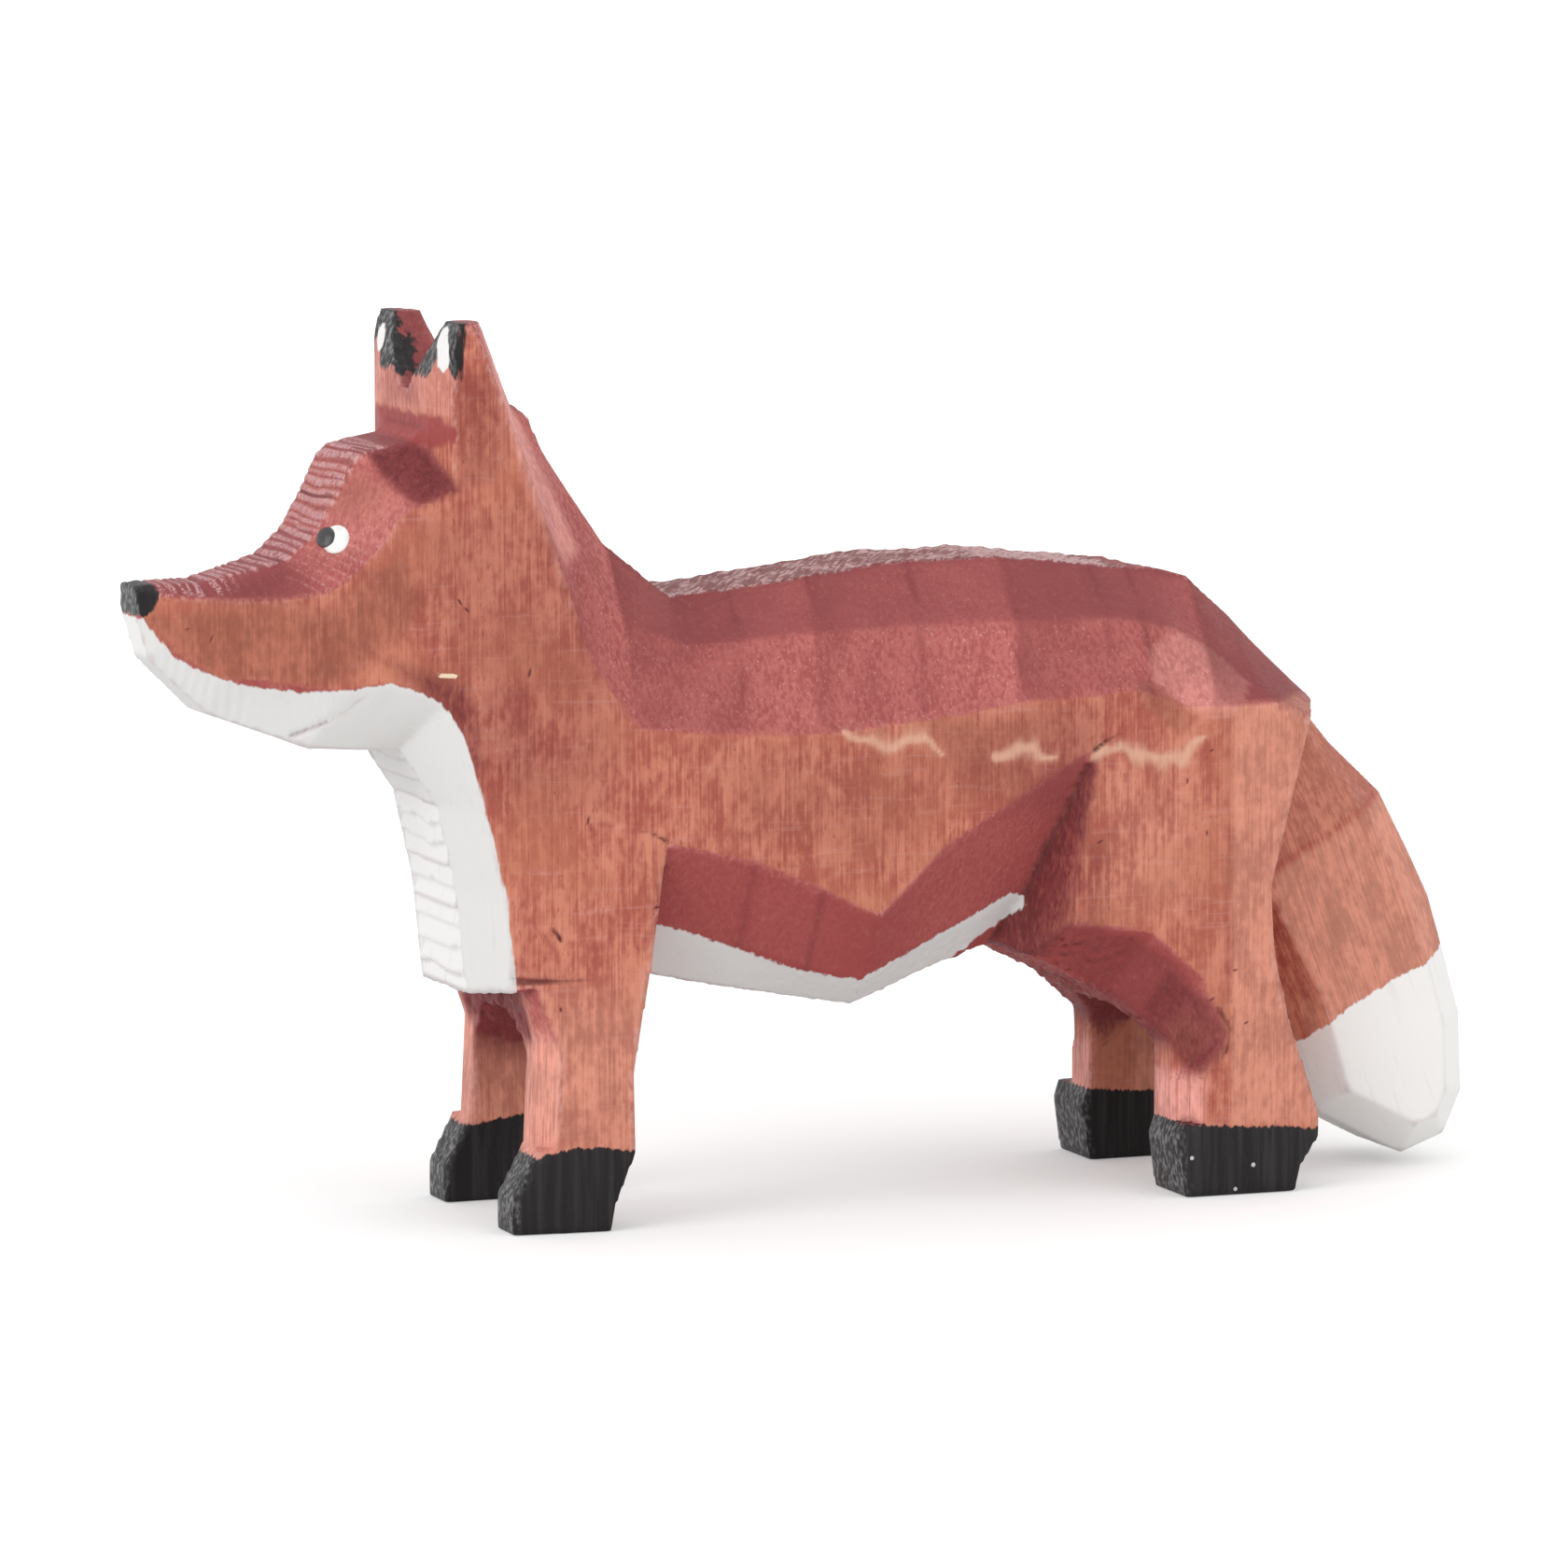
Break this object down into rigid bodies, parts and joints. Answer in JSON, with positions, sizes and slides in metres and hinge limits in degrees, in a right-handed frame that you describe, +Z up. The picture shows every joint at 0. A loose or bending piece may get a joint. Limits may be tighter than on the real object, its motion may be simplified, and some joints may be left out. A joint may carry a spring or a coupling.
{
  "type": "fox figurine",
  "caption": "Small carved wooden fox that stands on its feet, with upright ears, a knife-faceted body and a glued-on tail. A shelf ornament.",
  "frame": {"origin": "centre of the bounding box at its bottom, on the plane of the soles", "axes": "+X from the nose towards the tail, +Y towards the fox's right side, +Z up"},
  "size_m": [0.08, 0.019, 0.0509],
  "materials": {
    "stained_wood": "red-brown stain, with white and black paint",
    "tail_wood": "red-brown stain, with a white painted tip",
    "dowel_wood": "bare",
    "white_paint": "brushed white paint on wood",
    "black_paint": "brushed black paint on wood"
  },
  "bodies": {
    "root": {"body": "stained_wood", "tail": "tail_wood", "tail_dowel": "dowel_wood"}
  },
  "joints": []
}
